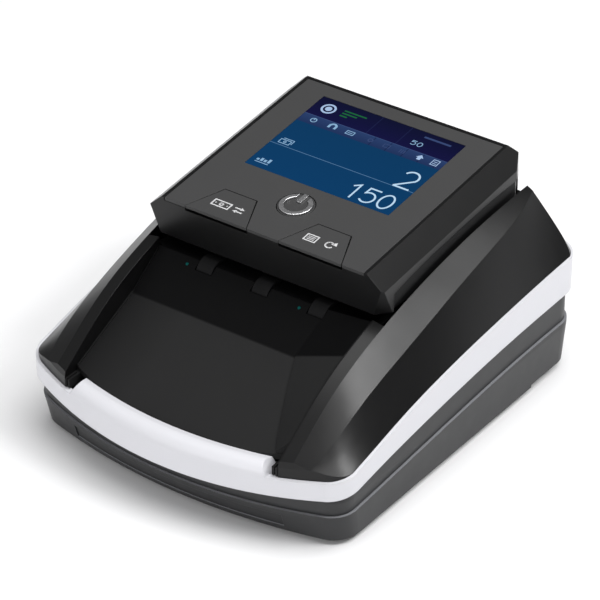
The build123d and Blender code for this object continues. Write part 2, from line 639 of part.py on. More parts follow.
def pulley(y, z, bore):
    return rod_x(*PULLEY_X, y, z, PULLEY_R) - rod_x(0, 60, y, z, bore)


def make_belt():
    """Closed loop round the motor pulley and both shaft pulleys."""
    centres = [(DRIVE_YS[0], DRIVE_Z), (DRIVE_YS[1], DRIVE_Z), MOTOR]
    gap = 0.3

    def loop(r):
        face = Sketch()
        tri = make_face(Polyline(*centres, close=True))
        hull = offset(tri, amount=r, kind=Kind.ARC)
        return face + hull

    x0, x1 = PULLEY_X[0] + 0.2, PULLEY_X[1] - 0.2
    outer = extrude(Plane.YZ.offset(x0) * loop(PULLEY_R + gap + BELT_T), x1 - x0)
    inner = extrude(Plane.YZ.offset(x0 - 1) * loop(PULLEY_R + gap), x1 - x0 + 2)
    return outer - inner


def make_motor():
    can = rod_x(10, 41.8, MOTOR[0], MOTOR[1], 11.0) + rod_x(41.8, 44.3, MOTOR[0], MOTOR[1], 3.0)
    return can - rod_x(36, 50, MOTOR[0], MOTOR[1], 1.05)


def make_motor_shaft():
    return rod_x(36.2, PULLEY_X[1] + 0.3, MOTOR[0], MOTOR[1], 1.0)


def make_motor_mount():
    y, z = MOTOR
    plate = box(41.9, 43.9, y - 14, y + 14, 15, z + 13) - rod_x(41, 45, y, z, 3.1)
    return plate + box(43.9, 44.4, y - 14, y - 11, 20, 40) + box(43.9, 44.4, y + 11, y + 14, 20, 40)


def make_encoder_disc():
    disc = rod_x(-49.9, -48.9, DRIVE_YS[1], DRIVE_Z, 4.9) - rod_x(-60, 0, DRIVE_YS[1], DRIVE_Z, SHAFT_R)
    for i in range(12):
        slot = Pos(-49.4, DRIVE_YS[1], DRIVE_Z) * Rot(30 * i, 0, 0) * Pos(0, 0, 3.6) * Box(3, 0.8, 1.4)
        disc -= slot
    return disc


def make_encoder_sensor():
    y = DRIVE_YS[1]
    body = box(-51.6, -47.2, y - 3, y + 3, 40.6, 48.3)
    return body - box(-50.3, -48.5, y - 4, y + 4, 43.4, 60)


def make_lower_guide():
    guide = box(-44.0, 44.0, THROAT_END_Y + 0.3, 75.8, DECK_Z - 1.6, DECK_Z)
    for sx in (-1, 1):
        guide += box(*sorted((sx * 44.0, sx * 46.4)), -18.6, 66.8, DECK_Z - 1.6, DECK_Z)
    for y in DRIVE_YS:
        for x in ROLLER_XS:
            guide -= roller_pocket(x, y)
    for x in ROLLER_XS:
        guide -= rod_x(x - 4.2, x + 4.2, PINCH_YS[0], PINCH_ZS[0], PINCH_R + 0.4)
    for x in SENSOR_XS:
        guide -= box(x - 5.2, x + 5.2, 9.8, 20.2, 50, 70)
    return guide


SENSOR_XS = (-30.0, 0.0, 30.0)


def make_sensor_windows():
    return [box(x - 5, x + 5, 10, 20, DECK_Z - 1.5, DECK_Z - 0.1) for x in SENSOR_XS]


def make_sensor_board():
    return box(-40, 40, 0, 30, 51.0, 52.4)


def make_sensor_chips():
    return [box(x - 3, x + 3, 12, 18, 52.4, 55.0) for x in SENSOR_XS]


# ---- electronics in the base ----
def make_main_board():
    board = box(8, 42, -58, 56, 9.6, 11.2) - box(30, 50, -25, -12, 0, 20)
    return board


def make_board_chips():
    sizes = [(14, -46, 8, 8, 2.0), (28, -44, 5, 7, 3.2), (18, -24, 10, 10, 1.6), (16, 4, 6, 9, 4.0), (34, 24, 6, 6, 5.0)]
    return [box(x - a / 2, x + a / 2, y - b / 2, y + b / 2, 11.2, 11.2 + h) for x, y, a, b, h in sizes]


def make_board_posts():
    spots = [(11, -54), (38, -54), (11, 52), (38, 52)]
    return [rod_z(x, y, FLOOR_Z + WALL, 9.6, 2.2) for x, y in spots]


def make_speaker():
    cone = rod_z(-24, -36, FLOOR_Z + WALL, 8.0, 14) + rod_z(-24, -36, 8.0, 12.5, 7)
    return cone


nodes = {
    "base_shell": [make_base_shell()],
    "battery_cover": [make_battery_cover()],
    "cover_screw": [make_cover_screw()],
    "battery_pack": [make_battery_pack()],
    "rubber_feet": make_rubber_feet(),
    "case_screws": make_case_screws(),
    "dc_jack": [make_dc_jack()],
    "service_port": [make_service_port()],
    "trim_band": [make_trim_band()],
    "upper_housing": [make_upper_housing()],
    "feed_tray": [make_feed_tray()],
    "note_guide": [make_note_guide()],
    "sensor_leds": make_sensor_leds(),
    "lower_guide": [make_lower_guide()],
    "sensor_windows": make_sensor_windows(),
    "sensor_board": [make_sensor_board()],
    "sensor_chips": make_sensor_chips(),
    "left_side_plate": [make_side_plate(-1)],
    "right_side_plate": [make_side_plate(1)],
    "shaft_bearings": make_bearings(),
    "front_drive_shaft": [make_drive_shaft(DRIVE_YS[0])],
    "front_drive_rollers": make_drive_rollers(DRIVE_YS[0]),
    "front_pulley": [pulley(DRIVE_YS[0], DRIVE_Z, SHAFT_R)],
    "rear_drive_shaft": [make_drive_shaft(DRIVE_YS[1])],
    "rear_drive_rollers": make_drive_rollers(DRIVE_YS[1]),
    "rear_pulley": [pulley(DRIVE_YS[1], DRIVE_Z, SHAFT_R)],
    "encoder_disc": [make_encoder_disc()],
    "encoder_sensor": [make_encoder_sensor()],
    "drive_belt": [make_belt()],
    "motor": [make_motor()],
    "motor_mount": [make_motor_mount()],
    "motor_shaft": [make_motor_shaft()],
    "motor_pulley": [pulley(MOTOR[0], MOTOR[1], 1.0)],
    "main_board": [make_main_board()],
    "board_chips": make_board_chips(),
    "board_posts": make_board_posts(),
    "speaker": [make_speaker()],
    "hinge_lugs": make_hinge_lugs(),
    "hinge_pins": make_hinge_pins(),
    "head_cover": [HEAD_COVER],
    "head_lower": [make_head_lower()],
    "upper_guide": [make_upper_guide()],
    "head_frame": [make_head_frame()],
    "faceplate": [make_faceplate()],
    "display_glass": [make_display_glass()],
    "display_module": [make_display_module()],
    "display_board": [make_display_board()],
    "left_key": [make_key(-1)],
    "right_key": [make_key(1)],
    "power_button": [make_power_button()],
    "power_symbol": make_power_symbol(),
    "key_board": [make_key_board()],
    "key_switches": make_key_switches(),
    "magnetic_sensor": [make_magnetic_sensor()],
    "front_pinch_shaft": [make_pinch(0)[0]],
    "front_pinch_rollers": make_pinch(0)[1],
    "rear_pinch_shaft": [make_pinch(1)[0]],
    "rear_pinch_rollers": make_pinch(1)[1],
}

for name, solids in nodes.items():
    save(name, *solids)
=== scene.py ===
import json
import math

import bmesh
import bpy
from mathutils import Matrix, Vector


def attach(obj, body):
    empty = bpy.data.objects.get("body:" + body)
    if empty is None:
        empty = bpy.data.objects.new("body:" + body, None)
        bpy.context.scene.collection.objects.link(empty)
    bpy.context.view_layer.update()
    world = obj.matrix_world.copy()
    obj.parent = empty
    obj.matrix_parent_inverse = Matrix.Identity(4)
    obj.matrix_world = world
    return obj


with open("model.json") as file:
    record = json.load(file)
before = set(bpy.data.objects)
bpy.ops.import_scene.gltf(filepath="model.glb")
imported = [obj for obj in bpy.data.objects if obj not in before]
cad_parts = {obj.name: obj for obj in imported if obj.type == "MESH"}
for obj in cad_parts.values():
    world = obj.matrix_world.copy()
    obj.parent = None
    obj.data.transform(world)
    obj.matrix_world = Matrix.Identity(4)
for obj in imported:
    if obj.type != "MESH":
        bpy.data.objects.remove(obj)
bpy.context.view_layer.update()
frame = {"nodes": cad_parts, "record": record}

MM = 0.001
NODES = frame["nodes"]

# ---- camera: front right, above ----
TARGET = Vector((-3.30, 6.30, 36.87)) * MM
DISTANCE = 1116.9 * MM
CAM_AZ = math.radians(36.0)
CAM_EL = math.radians(32.57)
LENS = 192.07


def add_camera():
    level = math.cos(CAM_EL)
    back = Vector((math.sin(CAM_AZ) * level, -math.cos(CAM_AZ) * level, math.sin(CAM_EL)))
    data = bpy.data.cameras.new("camera")
    data.sensor_width = 36.0
    data.lens = LENS
    data.clip_start = 0.05
    data.clip_end = 50.0
    cam = bpy.data.objects.new("camera", data)
    cam.location = TARGET + back * DISTANCE
    cam.rotation_euler = back.to_track_quat("Z", "Y").to_euler()
    bpy.context.scene.collection.objects.link(cam)
    bpy.context.scene.camera = cam


add_camera()


# ---- material helpers ----
class Graph:
    """Small wrapper that adds and wires shader nodes."""

    def __init__(self, name):
        self.mat = bpy.data.materials.new(name)
        self.mat.use_nodes = True
        self.tree = self.mat.node_tree
        self.shader = self.tree.nodes["Principled BSDF"]
        self.coords = self.tree.nodes.new("ShaderNodeTexCoord").outputs["Object"]

    def add(self, kind, **settings):
        node = self.tree.nodes.new(kind)
        for key, value in settings.items():
            setattr(node, key, value)
        return node

    def wire(self, source, target):
        self.tree.links.new(source, target)

    def feed(self, socket, value):
        if isinstance(value, bpy.types.NodeSocket):
            self.wire(value, socket)
        else:
            socket.default_value = value

    def math(self, operation, a, b=0.0, c=0.0):
        node = self.add("ShaderNodeMath", operation=operation)
        for socket, value in zip(node.inputs, (a, b, c)):
            self.feed(socket, value)
        return node.outputs[0]

    def noise(self, scale, detail=3.0, rough=0.55, stretch=None):
        node = self.add("ShaderNodeTexNoise")
        node.inputs["Scale"].default_value = scale
        node.inputs["Detail"].default_value = detail
        node.inputs["Roughness"].default_value = rough
        source = self.coords
        if stretch:
            mapping = self.add("ShaderNodeMapping")
            mapping.inputs["Scale"].default_value = stretch
            self.wire(source, mapping.inputs["Vector"])
            source = mapping.outputs[0]
        self.wire(source, node.inputs["Vector"])
        return node.outputs["Fac"]

    def span(self, value, low, high, to_low=0.0, to_high=1.0):
        node = self.add("ShaderNodeMapRange")
        for socket, item in zip(node.inputs, (value, low, high, to_low, to_high)):
            self.feed(socket, item)
        return node.outputs[0]

    def mix(self, factor, a, b):
        node = self.add("ShaderNodeMix", data_type="RGBA")
        self.feed(node.inputs["Factor"], factor)
        self.feed(node.inputs[6], a)
        self.feed(node.inputs[7], b)
        return node.outputs[2]

    def bump(self, height, distance, strength=1.0, normal=None):
        node = self.add("ShaderNodeBump")
        node.inputs["Distance"].default_value = distance
        node.inputs["Strength"].default_value = strength
        self.wire(height, node.inputs["Height"])
        if normal:
            self.wire(normal, node.inputs["Normal"])
        return node.outputs[0]

    def rounded(self, radius):
        """Normal that softens sharp edges over the given radius."""
        node = self.add("ShaderNodeBevel", samples=4)
        node.inputs["Radius"].default_value = radius
        return node.outputs[0]

    def facing_up(self, normal):
        """One on surfaces that look upward, nought on walls."""
        split = self.add("ShaderNodeSeparateXYZ")
        self.wire(normal, split.inputs[0])
        return self.span(split.outputs["Z"], 0.2, 0.6)

    def set(self, **values):
        for key, value in values.items():
            self.feed(self.shader.inputs[key.replace("_", " ")], value)


def shade(colour, factor):
    return tuple(min(1.0, c * factor) for c in colour[:3]) + (1.0,)


EDGE = 0.28 * MM         # moulded edge radius


def plastic(name, colour, rough, grain=0.35, depth=0.004, mottle=0.06, specular=0.5, wave=0.012,
            edge=EDGE, painted_top_highlight=1.0):
    """Moulded plastic: fine grain, slow mottling, rubbed patches; painted_top_highlight paints upward faces
    lighter, a painted highlight.
    """
    g = Graph(name)
    slow = g.noise(42.0, 2.0)
    patch = g.noise(160.0, 4.0, 0.6)
    fine = g.noise(1000.0 / grain, 2.0, 0.5)
    tone = g.mix(slow, shade(colour, 1 - mottle), shade(colour, 1 + mottle))
    soft = g.rounded(edge)
    if painted_top_highlight > 1:
        # painted highlight: faces that look upward get a lighter colour
        tone = g.mix(g.facing_up(soft), tone, shade(colour, painted_top_highlight))
    g.set(Base_Color=tone)
    g.set(Roughness=g.span(patch, 0.3, 0.7, rough * 0.96, min(1.0, rough * 1.05)))
    g.set(Normal=g.bump(fine, depth * MM, 1.0, g.bump(patch, wave * MM, 0.35, soft)))
    g.shader.inputs["Specular IOR Level"].default_value = specular
    return g.mat


def metal(name, colour, rough, brushed=None, stain=0.12):
    """Bare or plated metal with a lay of fine tool marks and a little staining."""
    g = Graph(name)
    marks = g.noise(2200.0, 3.0, 0.6, brushed or (1, 1, 1))
    cloud = g.noise(120.0, 4.0, 0.6)
    g.set(Base_Color=g.mix(cloud, shade(colour, 1 - stain), shade(colour, 1 + stain * 0.5)))
    g.set(Roughness=g.span(marks, 0.25, 0.75, rough * 0.75, min(1.0, rough * 1.3)))
    g.set(Normal=g.bump(marks, 0.006 * MM, 0.8))
    g.shader.inputs["Metallic"].default_value = 1.0
    return g.mat


def rubber(name, colour, rough=0.75, specular=0.35):
    """Matt rubber with pores and a little dust."""
    g = Graph(name)
    pores = g.noise(2600.0, 2.0)
    dust = g.noise(260.0, 5.0, 0.65)
    g.set(Base_Color=g.mix(g.span(dust, 0.45, 0.8), shade(colour, 1.0), shade(colour, 1.7)))
    g.set(Roughness=g.span(dust, 0.3, 0.7, rough, min(1.0, rough + 0.15)))
    g.set(Normal=g.bump(pores, 0.02 * MM, 0.9))
    g.shader.inputs["Specular IOR Level"].default_value = specular
    return g.mat


def lit(name, colour, strength, rough=0.3):
    """A small lit shape, with a slightly uneven glow."""
    g = Graph(name)
    glow = g.noise(700.0, 2.0)
    tint = g.mix(glow, shade(colour, 0.94), shade(colour, 1.05))
    g.set(Emission_Color=tint, Roughness=g.span(glow, 0.3, 0.7, rough * 0.9, rough * 1.1))
    g.set(Base_Color=g.mix(glow, shade(colour, 0.1), shade(colour, 0.14)))
    g.shader.inputs["Emission Strength"].default_value = strength
    g.shader.inputs["Specular IOR Level"].default_value = 0.1
    return g.mat


def circuit_board(name):
    """Solder mask with traces and plated pads."""
    g = Graph(name)
    brick = g.add("ShaderNodeTexBrick")
    brick.inputs["Scale"].default_value = 260.0
    brick.inputs["Mortar Size"].default_value = 0.018
    brick.inputs["Color1"].default_value = (0.012, 0.085, 0.035, 1)
    brick.inputs["Color2"].default_value = (0.015, 0.1, 0.042, 1)
    brick.inputs["Mortar"].default_value = (0.04, 0.2, 0.07, 1)
    g.wire(g.coords, brick.inputs["Vector"])
    dots = g.add("ShaderNodeTexVoronoi")
    dots.inputs["Scale"].default_value = 420.0
    g.wire(g.coords, dots.inputs["Vector"])
    pad = g.span(dots.outputs["Distance"], 0.16, 0.2, 1.0, 0.0)
    g.set(Base_Color=g.mix(pad, brick.outputs["Color"], (0.62, 0.6, 0.5, 1)))
    g.set(Metallic=pad, Roughness=g.span(g.noise(300.0), 0.3, 0.7, 0.3, 0.42))
    g.set(Normal=g.bump(brick.outputs["Fac"], 0.01 * MM, 0.5))
    return g.mat


# ---- the colour screen: drawn in the panel's own axes ----
TILT = math.radians(6.2)
PANEL_Y = -20.0 * MM
PANEL_Z = 77.8 * MM
SCREEN_V = (31.0, 78.2)
HEADER_V = 66.9
TABS_V = 61.5
DIVIDER_V = 45.9


def screen_material():
    g = Graph("screen")
    split = g.add("ShaderNodeSeparateXYZ")
    g.wire(g.coords, split.inputs[0])
    x = g.math("MULTIPLY", split.outputs["X"], 1 / MM)
    along_y = g.math("MULTIPLY", g.math("SUBTRACT", split.outputs["Y"], PANEL_Y), math.cos(TILT) / MM)
    along_z = g.math("MULTIPLY", g.math("SUBTRACT", split.outputs["Z"], PANEL_Z), math.sin(TILT) / MM)
    v = g.math("ADD", along_y, along_z)

    def band(value, low, high):
        return g.math("MULTIPLY", g.math("GREATER_THAN", value, low), g.math("LESS_THAN", value, high))

    drift = g.span(v, SCREEN_V[0], TABS_V)
    colour = g.mix(drift, (0.0, 0.045, 0.14, 1), (0.0, 0.041, 0.124, 1))
    line = band(v, DIVIDER_V - 0.12, DIVIDER_V + 0.12)
    colour = g.mix(line, colour, (0.11, 0.24, 0.42, 1))
    tabs = g.mix(g.span(v, TABS_V, HEADER_V), (0.012, 0.03, 0.105, 1), (0.022, 0.05, 0.15, 1))
    step = g.math("PINGPONG", g.math("ADD", x, 26.6), 3.4)
    seam = g.math("MULTIPLY", g.math("LESS_THAN", step, 0.14), g.math("GREATER_THAN", x, -4.6))
    tabs = g.mix(seam, tabs, (0.004, 0.01, 0.05, 1))
    edge = band(v, HEADER_V - 0.25, HEADER_V)
    tabs = g.mix(edge, tabs, (0.05, 0.085, 0.22, 1))
    colour = g.mix(g.math("GREATER_THAN", v, TABS_V), colour, tabs)
    header = g.mix(g.span(v, HEADER_V, SCREEN_V[1]), (0.0035, 0.002, 0.045, 1), (0.001, 0.001, 0.022, 1))
    rule = g.math("ADD", band(x, -4.3, -4.1), band(x, 8.2, 8.4))
    header = g.mix(g.math("MULTIPLY", rule, 0.6), header, (0.02, 0.03, 0.11, 1))
    colour = g.mix(g.math("GREATER_THAN", v, HEADER_V), colour, header)
    # fine pixel rows and columns
    rows = g.math("PINGPONG", v, 0.11)
    columns = g.math("PINGPONG", x, 0.11)
    grid = g.span(g.math("MULTIPLY", rows, columns), 0.0, 0.006, 0.88, 1.03)
    pixel = g.add("ShaderNodeVectorMath", operation="SCALE")
    g.wire(colour, pixel.inputs[0])
    g.wire(grid, pixel.inputs["Scale"])
    g.set(Base_Color=(0.002, 0.003, 0.006, 1.0))
    g.wire(pixel.outputs[0], g.shader.inputs["Emission Color"])
    g.shader.inputs["Emission Strength"].default_value = 0.95
    smear = g.noise(90.0, 4.0, 0.6)
    g.set(Roughness=g.span(smear, 0.35, 0.7, 0.2, 0.3))
    g.set(Normal=g.bump(g.noise(3000.0, 1.0), 0.001 * MM, 0.4))
    g.shader.inputs["Specular IOR Level"].default_value = 0.04
    return g.mat


STEP_Y = -35.6 * MM      # crease between the tray floor and the throat
# x span, in metres, of the painted shade by the left wall
WALL_SHADE = (-0.045, -0.020)


def tray_plastic(name, colour, painted_shade_colour):
    """Satin tray floor with painted shade: the steep ramp past the crease, under the head, and the strip by
    the left wall are painted darker.
    """
    g = Graph(name)
    split = g.add("ShaderNodeSeparateXYZ")
    g.wire(g.coords, split.inputs[0])
    # painted shade: the throat past the crease, under the head, is painted darker
    throat_painted_shade = g.span(split.outputs["Y"], STEP_Y - 0.2 * MM, STEP_Y + 0.5 * MM)
    # painted shade and reflection: the floor strip by the dark left wall is painted darker
    wall_painted_shade = g.span(split.outputs["X"], *WALL_SHADE, 0.55, 0.0)
    slow = g.noise(42.0, 2.0)
    fine = g.noise(3600.0, 2.0, 0.5)
    patch = g.noise(160.0, 4.0, 0.6)
    tone = g.mix(slow, shade(colour, 0.95), shade(colour, 1.05))
    tone = g.mix(wall_painted_shade, tone, shade(painted_shade_colour, 1.15))
    g.set(Base_Color=g.mix(throat_painted_shade, tone, shade(painted_shade_colour, 1.0)))
    g.set(Roughness=g.span(patch, 0.3, 0.7, 0.47, 0.56))
    g.set(Normal=g.bump(fine, 0.006 * MM, 1.0, g.bump(patch, 0.012 * MM, 0.3, g.rounded(EDGE))))
    g.shader.inputs["Specular IOR Level"].default_value = 0.09
    return g.mat


BLACK = (0.0045, 0.0045, 0.0047)
MATERIALS = {
    "housing_black": plastic("housing_black", BLACK, 0.29, 0.5, 0.0003, 0.03, 0.3, 0.0),
    # the tray's second colour is its painted shade
    "tray_black": tray_plastic("tray_black", (0.0175, 0.0175, 0.0177), (0.0019, 0.0019, 0.0021)),
    # base_grey: the ledge top is painted 13 times lighter, a painted highlight line
    "base_grey": plastic("base_grey", (0.0183, 0.0186, 0.0198), 0.42, 0.3, 0.005, 0.05, 0.36,
                         edge=0.5 * MM, painted_top_highlight=13.0),
    "band_white": plastic("band_white", (0.66, 0.66, 0.692), 0.36, 0.6, 0.0015, 0.012, 0.4, edge=0.5 * MM),
    "panel_grey": plastic("panel_grey", (0.048, 0.048, 0.0485), 0.42, 0.22, 0.004, 0.035, 0.3),
    "skirt_black": plastic("skirt_black", (0.004, 0.004, 0.0043), 0.5, 0.3, 0.004, 0.05, 0.25),
    "key_grey": plastic("key_grey", (0.046, 0.046, 0.0465), 0.44, 0.22, 0.005, 0.035, 0.3),
    "bright_metal": metal("bright_metal", (0.8, 0.8, 0.81), 0.24, (1, 1, 1), 0.05),
    "screen_glass": screen_material(),
    "clear_window": plastic("clear_window", (0.03, 0.034, 0.04), 0.12, 0.8, 0.0008, 0.05, 0.6),
    "led_teal": lit("led_teal", (0.006, 0.09, 0.085), 0.6),
    "rubber_black": rubber("rubber_black", (0.016, 0.016, 0.016)),
    "roller_grey": rubber("roller_grey", (0.0055, 0.0055, 0.0058), 0.7, 0.15),
    "steel": metal("steel", (0.55, 0.55, 0.56), 0.3, (0.08, 1, 1)),
    "zinc_plate": metal("zinc_plate", (0.47, 0.48, 0.49), 0.42, (1, 1, 0.1)),
    "motor_can": metal("motor_can", (0.42, 0.42, 0.43), 0.35, (1, 0.1, 1)),
    "board_green": circuit_board("board_green"),
    "chip_black": plastic("chip_black", (0.016, 0.016, 0.017), 0.55, 0.2, 0.006),
    "nylon_white": plastic("nylon_white", (0.58, 0.58, 0.55), 0.48, 0.5, 0.002, 0.03),
    "brass_bush": metal("brass_bush", (0.62, 0.43, 0.19), 0.38),
    "cell_wrap": plastic("cell_wrap", (0.02, 0.08, 0.2), 0.25, 0.9, 0.003),
    "port_metal": metal("port_metal", (0.5, 0.5, 0.5), 0.3),
}
SLOT_OF = {item["node"]: item["material_slot"] for item in frame["record"]["subparts"]}


WELD_GAP = 0.02 * MM
SHARP = math.radians(28)


def dress(name, obj, width=0.0):
    """Assign the node's material and round its sharp edges."""
    obj.data.materials.clear()
    obj.data.materials.append(MATERIALS[SLOT_OF[name]])
    if width:
        weld = obj.modifiers.new("weld", "WELD")
        weld.merge_threshold = WELD_GAP
        bevel = obj.modifiers.new("edges", "BEVEL")
        bevel.width = width * MM
        bevel.segments = 3
        bevel.limit_method = "ANGLE"
        bevel.angle_limit = SHARP
        bevel.harden_normals = True
        bevel.use_clamp_overlap = True


# Millimetres of real rounding on the small raised pieces; the shaders soften the rest
EDGES = {"left_key": 0.12, "right_key": 0.12, "power_button": 0.2, "power_symbol": 0.3,
         "rubber_feet": 0.3}
for node_name, node in NODES.items():
    dress(node_name, node, EDGES.get(node_name, 0.0))


# ---- thin printed and lit shapes, drawn in panel millimetres ----
def panel_matrix():
    out = Vector((0, -math.sin(TILT), math.cos(TILT)))
    slope = Vector((0, math.cos(TILT), math.sin(TILT)))
    origin = Vector((0, PANEL_Y, PANEL_Z))
    return Matrix.Translation(origin) @ Matrix((Vector((1, 0, 0)), slope, out)).transposed().to_4x4()


PANEL = panel_matrix()


def rect(x0, y0, x1, y1):
    return [[(x0, y0), (x1, y0), (x1, y1), (x0, y1)]]


def arc(cx, cy, r0, r1, start, end, steps=28):
    quads = []
    angles = [math.radians(start + (end - start) * i / steps) for i in range(steps + 1)]
    for a, b in zip(angles, angles[1:]):
        corners = ((r1, a), (r1, b), (r0, b), (r0, a))
        quads.append([(cx + r * math.cos(t), cy + r * math.sin(t)) for r, t in corners])
    return quads


def disc(cx, cy, r, steps=36):
    return [[(cx + r * math.cos(2 * math.pi * i / steps), cy + r * math.sin(2 * math.pi * i / steps))
             for i in range(steps)]]


def frame_rect(x0, y0, x1, y1, t):
    return rect(x0, y0, x1, y0 + t) + rect(x0, y1 - t, x1, y1) + rect(x0, y0 + t, x0 + t, y1 - t) + \
        rect(x1 - t, y0 + t, x1, y1 - t)


def printed(name, shapes, material, body, lift, thick=0.04):
    """One thin closed piece made of flat shapes, standing on the panel."""
    bm = bmesh.new()
    for outline in shapes:
        low = [bm.verts.new((x * MM, y * MM, (lift - 0.02) * MM)) for x, y in outline]
        high = [bm.verts.new((x * MM, y * MM, (lift + thick) * MM)) for x, y in outline]
        bm.faces.new(low[::-1])
        bm.faces.new(high)
        for i in range(len(outline)):
            j = (i + 1) % len(outline)
            bm.faces.new((low[i], low[j], high[j], high[i]))
    bmesh.ops.remove_doubles(bm, verts=bm.verts, dist=1e-7)
    bmesh.ops.recalc_face_normals(bm, faces=bm.faces)
    mesh = bpy.data.meshes.new(name)
    bm.to_mesh(mesh)
    bm.free()
    mesh.transform(PANEL)
    mesh.materials.append(material)
    obj = bpy.data.objects.new(name, mesh)
    bpy.context.scene.collection.objects.link(obj)
    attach(obj, body)


def ribbon(points, width):
    """A pen stroke: mitred quads along a centre line."""
    pts = [Vector(point) for point in points]
    sides = []
    for i, point in enumerate(pts):
        before = (point - pts[i - 1]).normalized() if i else (pts[1] - point).normalized()
        after = (pts[i + 1] - point).normalized() if i < len(pts) - 1 else before
        along = (before + after).normalized()
        normal = Vector((-along.y, along.x)) * (width / 2 / max(0.5, along.dot(before)))
        sides.append((point + normal, point - normal))
    return [[tuple(a1), tuple(a0), tuple(b0), tuple(b1)] for (a0, a1), (b0, b1) in zip(sides, sides[1:])]


def oval(cx, cy, rx, ry, start, end, steps=22):
    return [(cx + rx * math.cos(math.radians(start + (end - start) * i / steps)),
             cy + ry * math.sin(math.radians(start + (end - start) * i / steps))) for i in range(steps + 1)]


def numeral(digit, x, y, w, h, pen):
    """One digit in the box from (x, y), w wide and h tall, drawn with a pen of the given width."""
    r = pen / 2
    x0, x1, y0, y1 = x + r, x + w - r, y + r, y + h - r
    cx, cy = (x0 + x1) / 2, (y0 + y1) / 2
    rx = (x1 - x0) / 2
    if digit == "0":
        return ribbon(oval(cx, cy, rx, (y1 - y0) / 2, 90, 450, 44), pen)
    if digit == "1":
        return ribbon([(cx - 0.55 * rx, y1 - 0.2 * h), (cx + 0.35 * rx, y1), (cx + 0.35 * rx, y0 - r)], pen)
    if digit == "2":
        top = 0.29 * h
        curve = oval(cx, y1 - top, rx * 0.96, top, 158, -28, 26)
        return ribbon(curve + [(x0, y0)], pen) + ribbon([(x0 - 0.2 * r, y0), (x1 + r, y0)], pen)
    bowl = 0.33 * h
    arc_points = oval(cx - 0.1 * rx, y0 + bowl, rx * 1.08, bowl, 118, -140, 30)
    return ribbon([(x1, y1), (x0 + 0.2 * rx, y1), (x0 + 0.1 * rx, y0 + 1.72 * bowl)] + arc_points, pen)


def number(text, right, base, w, h, pen, gap):
    shapes = []
    for i, digit in enumerate(reversed(text)):
        shapes += numeral(digit, right - w - i * (w + gap), base, w, h, pen)
    return shapes


GLASS_W = -0.1            # top of the glass, off the panel
white_light = lit("screen_white", (0.46, 0.64, 0.8), 0.95)
pale_light = lit("screen_pale", (0.24, 0.42, 0.62), 0.9)
dim_light = lit("screen_dim", (0.035, 0.06, 0.16), 0.9)
green_light = lit("screen_green", (0.008, 0.115, 0.035), 0.9)
badge_light = lit("screen_badge", (0.36, 0.5, 0.72), 0.9)


def on_screen(name, shapes, material):
    printed(name, shapes, material, "head", GLASS_W)


on_screen("count_digit", number("2", 28.0, 45.9, 6.8, 10.5, 0.74, 1.2), white_light)
on_screen("total_digits", number("150", 28.1, 32.5, 5.7, 8.6, 0.68, 1.05), white_light)
on_screen("value_digits", number("50", 17.2, 69.4, 2.1, 2.6, 0.3, 0.5), pale_light)


def note_stack(x, y):
    shapes = frame_rect(x, y, x + 4.6, y + 2.5, 0.32)
    shapes += rect(x + 0.7, y + 3.0, x + 5.3, y + 3.3) + rect(x + 5.0, y + 0.8, x + 5.3, y + 3.0)
    return shapes + arc(x + 2.3, y + 1.25, 0.32, 0.62, 0, 360, 18)


def sum_bars(x, y):
    shapes = rect(x, y, x + 5.6, y + 0.32)
    for left, top in ((0.0, 2.0), (1.5, 2.7), (3.0, 2.3), (4.5, 3.2)):
        shapes += rect(x + left, y + 1.0, x + left + 1.0, y + top)
    return shapes


# row icons, then the three lit tabs: a lamp, a magnet and a scanned note
pale_shapes = note_stack(-27.8, 46.9) + sum_bars(-28.0, 33.6)
pale_shapes += arc(-24.6, 64.2, 0.95, 1.3, 0, 360, 24)
pale_shapes += [[(-24.75, 64.2), (-24.45, 64.2), (-24.45, 65.1), (-24.75, 65.1)]]
pale_shapes += rect(-18.2, 63.2, -17.3, 65.2) + rect(-15.7, 63.2, -14.8, 65.2)
pale_shapes += arc(-16.5, 64.6, 0.8, 1.6, 0, 180, 14)
pale_shapes += frame_rect(-10.6, 63.1, -7.2, 65.3, 0.3) + rect(-9.9, 64.0, -7.9, 64.3)
on_screen("screen_icons", pale_shapes, pale_light)

# three unlit tabs and the bar over the small number
dim_shapes = arc(-0.2, 64.2, 0.7, 1.05, 0, 360, 20) + frame_rect(5.3, 63.2, 8.0, 65.2, 0.25)
for left in (12.1, 13.0, 13.9):
    dim_shapes += rect(left, 63.2, left + 0.3, 65.2)
dim_shapes += rect(15.0, 75.0, 26.0, 75.9)
on_screen("screen_faint_icons", dim_shapes, dim_light)

# feed arrow and report sheet
bright_shapes = [[(18.9, 64.3), (20.4, 65.9), (21.9, 64.3), (21.1, 64.3), (19.7, 64.3)]]
bright_shapes += rect(19.7, 63.0, 21.1, 64.3) + frame_rect(25.4, 62.7, 28.2, 66.0, 0.3)
bright_shapes += rect(26.1, 63.6, 27.5, 63.9) + rect(26.1, 64.6, 27.5, 64.9)
on_screen("screen_bright_icons", bright_shapes, badge_light)

green_shapes = []
for base, right in ((71.0, -15.4), (72.6, -12.2), (74.2, -9.0)):
    green_shapes += rect(-18.4, base, right, base + 0.7)
on_screen("screen_green_bars", green_shapes, green_light)
badge_shapes = arc(-24.1, 72.6, 2.1, 2.9, 0, 360, 40) + disc(-24.1, 72.6, 1.3)
on_screen("screen_badge", badge_shapes, badge_light)

print_white = plastic("print_white", (0.62, 0.62, 0.63), 0.5, 0.25, 0.003, 0.03)


def banknote(cx, cy, w, h, t):
    shapes = frame_rect(cx - w / 2, cy - h / 2, cx + w / 2, cy + h / 2, t)
    shapes += arc(cx, cy, 0.35, 0.95, 0, 360, 24)
    return shapes + disc(cx - w / 2 + 1.3, cy, 0.3, 14) + disc(cx + w / 2 - 1.3, cy, 0.3, 14)


